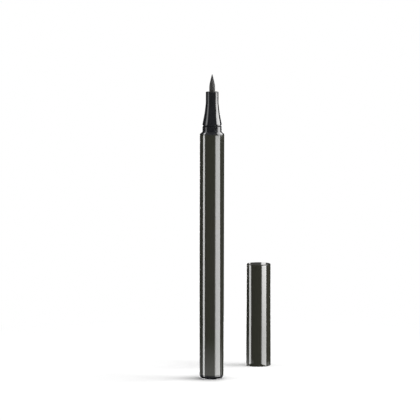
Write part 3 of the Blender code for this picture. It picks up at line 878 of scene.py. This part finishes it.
def card(name, ends, forward, heights, material):
    """An upright card, with its base set forward of its top."""
    base = [(x * MM, (y - forward) * MM) for x, y in ends]
    top = [(x * MM, y * MM) for x, y in ends]
    heights = [height * MM for height in heights]
    only_in_reflections(upright_panel(name, base, top, heights, material))


def make_cards():
    """Bright cards, and black flags that keep the edges dark."""
    for name, ends, forward, heights, strengths, soft_sides, see_through in CARDS:
        material, tree, light = faded_material(name, strengths, soft_sides)
        if see_through:
            clear = tree.nodes.new("ShaderNodeBsdfTransparent")
            both = tree.nodes.new("ShaderNodeAddShader")
            tree.links.new(clear.outputs["BSDF"], both.inputs[0])
            tree.links.new(light.outputs["Emission"], both.inputs[1])
            tree.links.new(both.outputs["Shader"], tree.nodes["Material Output"].inputs["Surface"])
        card(name, ends, forward, heights, material)
    black, _, _ = emission_material("black_flag", 0.0)
    for name, ends, forward, heights in FLAGS:
        card(name, ends, forward, heights, black)


def make_surround():
    """Dark walls and a dim ceiling round the set, seen only in reflections."""
    dark, _, _ = emission_material("dark_surround", 0.0)
    ceiling, _, _ = emission_material("dim_ceiling", CEILING_STRENGTH)
    places = places_round(SURROUND_RADIUS, (-180.0, 180.0))
    wall = upright_panel("surround_wall", places, places, (SURROUND_BASE, SURROUND_TOP), dark)
    only_in_reflections(wall)
    only_in_reflections(disc("surround_ceiling", SURROUND_RADIUS, SURROUND_TOP, ceiling))
    only_in_reflections(disc("surround_below", SURROUND_RADIUS, SURROUND_BASE, dark))
    screen = disc("cap_floor_screen", CAP_SCREEN_RADIUS, CAP_SCREEN_HEIGHT, dark, CAP_SCREEN_PLACE)
    only_in_reflections(screen)


def disc(name, radius, height, material, centre=(0.0, 0.0)):
    """A flat disc of the set."""
    mesh = bpy.data.meshes.new(name)
    shape = bmesh.new()
    place = Matrix.Translation((*centre, height))
    bmesh.ops.create_circle(shape, cap_ends=True, segments=SEGMENTS, radius=radius, matrix=place)
    shape.to_mesh(mesh)
    shape.free()
    return stage_object(name, mesh, material)


def floor_shine(tree, place, distance):
    """How strongly the floor shows in gloss: near the pen, but not at its foot, and less to its left: a
    painted shadow of the pen in the floor's reflection.
    """
    away = tree.nodes.new("ShaderNodeVectorMath")
    away.operation = "NORMALIZE"
    tree.links.new(place, away.inputs[0])
    behind = tree.nodes.new("ShaderNodeVectorMath")
    behind.operation = "DOT_PRODUCT"
    behind.inputs[1].default_value = SHINE_LEFT_BEHIND
    tree.links.new(away.outputs["Vector"], behind.inputs[0])
    near = spread(tree, distance, SHINE_STRENGTH, 0.0, *SHINE_REACH)
    left = spread(tree, behind.outputs["Value"], 1.0, SHINE_LEFT_SHARE, *SHINE_LEFT_FACING)
    start = spread(tree, distance, 0.0, 1.0, *SHINE_START)
    return math_node(tree, "MULTIPLY", start, math_node(tree, "MULTIPLY", near, left))


def contact_shadow(tree, place, distance):
    """Share of light that the floor keeps close to what stands on it: least in front of the pen."""
    near = tree.nodes.new("ShaderNodeAmbientOcclusion")
    near.inputs["Distance"].default_value = CONTACT_DISTANCE
    blocked = math_node(tree, "SUBTRACT", 1.0, near.outputs["AO"])
    parts = tree.nodes.new("ShaderNodeSeparateXYZ")
    tree.links.new(place, parts.inputs["Vector"])
    depth = spread(tree, distance, *CONTACT_SHADOW, *CONTACT_REACH)
    right = spread(tree, parts.outputs["X"], 1.0, CONTACT_RIGHT_SHARE, *CONTACT_RIGHT_REACH)
    blocked = math_node(tree, "MULTIPLY", blocked, math_node(tree, "MULTIPLY", depth, right))
    return math_node(tree, "SUBTRACT", 1.0, blocked)


def make_floor():
    """White floor that keeps shadows, goes to plain white far out and shows in gloss near the pen."""
    material, tree, shine = emission_material("floor", 1.0)
    matte = tree.nodes.new("ShaderNodeBsdfDiffuse")
    glow = add_node(tree, "ShaderNodeEmission")
    white = add_node(tree, "ShaderNodeEmission", Strength=1.0)
    lit = tree.nodes.new("ShaderNodeAddShader")
    path = tree.nodes.new("ShaderNodeLightPath")
    geometry = tree.nodes.new("ShaderNodeNewGeometry")
    length = tree.nodes.new("ShaderNodeVectorMath")
    length.operation = "LENGTH"
    tree.links.new(geometry.outputs["Position"], length.inputs[0])
    distance = length.outputs["Value"]
    shown = path.outputs["Is Camera Ray"]
    kept = contact_shadow(tree, geometry.outputs["Position"], distance)
    tree.links.new(math_node(tree, "MULTIPLY", kept, FLOOR_COLOUR), matte.inputs["Color"])
    glowing = math_node(tree, "MULTIPLY", shown, FLOOR_GLOW)
    tree.links.new(math_node(tree, "MULTIPLY", kept, glowing), glow.inputs["Strength"])
    tree.links.new(matte.outputs["BSDF"], lit.inputs[0])
    tree.links.new(glow.outputs["Emission"], lit.inputs[1])
    far = spread(tree, distance, 0.0, 1.0, *WHITE_REACH)
    backdrop = tree.nodes.new("ShaderNodeMixShader")
    tree.links.new(math_node(tree, "MULTIPLY", shown, far), backdrop.inputs["Fac"])
    tree.links.new(lit.outputs["Shader"], backdrop.inputs[1])
    tree.links.new(white.outputs["Emission"], backdrop.inputs[2])

    clear = tree.nodes.new("ShaderNodeBsdfTransparent")
    mirrored = tree.nodes.new("ShaderNodeAddShader")
    tree.links.new(floor_shine(tree, geometry.outputs["Position"], distance), shine.inputs["Strength"])
    tree.links.new(clear.outputs["BSDF"], mirrored.inputs[0])
    tree.links.new(shine.outputs["Emission"], mirrored.inputs[1])

    choice = tree.nodes.new("ShaderNodeMixShader")
    tree.links.new(path.outputs["Is Glossy Ray"], choice.inputs["Fac"])
    tree.links.new(backdrop.outputs["Shader"], choice.inputs[1])
    tree.links.new(mirrored.outputs["Shader"], choice.inputs[2])
    tree.links.new(choice.outputs["Shader"], tree.nodes["Material Output"].inputs["Surface"])
    disc("floor", FLOOR_RADIUS, 0.0, material)


def make_world():
    """White behind the set, and a soft even fill for matt surfaces."""
    world = bpy.data.worlds.new("studio")
    bpy.context.scene.world = world
    world.use_nodes = True
    tree = world.node_tree
    background = tree.nodes["Background"]
    background.inputs["Color"].default_value = (1.0, 1.0, 1.0, 1.0)
    path = tree.nodes.new("ShaderNodeLightPath")
    shown = path.outputs["Is Camera Ray"]
    for kind in ("Is Glossy Ray", "Is Transmission Ray"):
        shown = math_node(tree, "MAXIMUM", shown, path.outputs[kind])
    tree.links.new(spread(tree, shown, WORLD_FILL, 1.0, 0.0, 1.0), background.inputs["Strength"])


def area_lamp(name, azimuth, elevation, width, height, power):
    """An area lamp that lights matt surfaces only. The softboxes stand for it in reflections."""
    data = bpy.data.lights.new(name, "AREA")
    data.shape = "RECTANGLE"
    data.size, data.size_y, data.energy = width, height, power
    lamp = bpy.data.objects.new(name, data)
    turn, rise = math.radians(azimuth), math.radians(elevation)
    away = Vector((math.sin(turn) * math.cos(rise), -math.cos(turn) * math.cos(rise), math.sin(rise)))
    lamp.location = LAMP_TARGET + away * LAMP_DISTANCE
    lamp.rotation_euler = away.to_track_quat("Z", "Y").to_euler()
    lamp.visible_glossy = False
    lamp.visible_camera = False
    bpy.context.scene.collection.objects.link(lamp)


def make_camera():
    """The photograph's camera."""
    data = bpy.data.cameras.new("camera")
    data.sensor_width = SENSOR_WIDTH
    data.lens = FOCAL_PIXELS * SENSOR_WIDTH / IMAGE_SIZE
    data.clip_start, data.clip_end = CLIP_RANGE
    camera = bpy.data.objects.new("camera", data)
    camera.location = CAMERA_PLACE
    facing = (CAMERA_TARGET - CAMERA_PLACE).to_track_quat("-Z", "Y").to_matrix().to_4x4()
    camera.rotation_euler = (facing @ Matrix.Rotation(CAMERA_ROLL, 4, "Z")).to_euler()
    bpy.context.scene.collection.objects.link(camera)
    bpy.context.scene.camera = camera


make_camera()
make_pieces()
make_floor()
make_surround()
make_softboxes()
make_cards()
make_world()
for lamp_values in LAMPS:
    area_lamp(*lamp_values)
bpy.context.scene.view_settings.view_transform = "Standard"
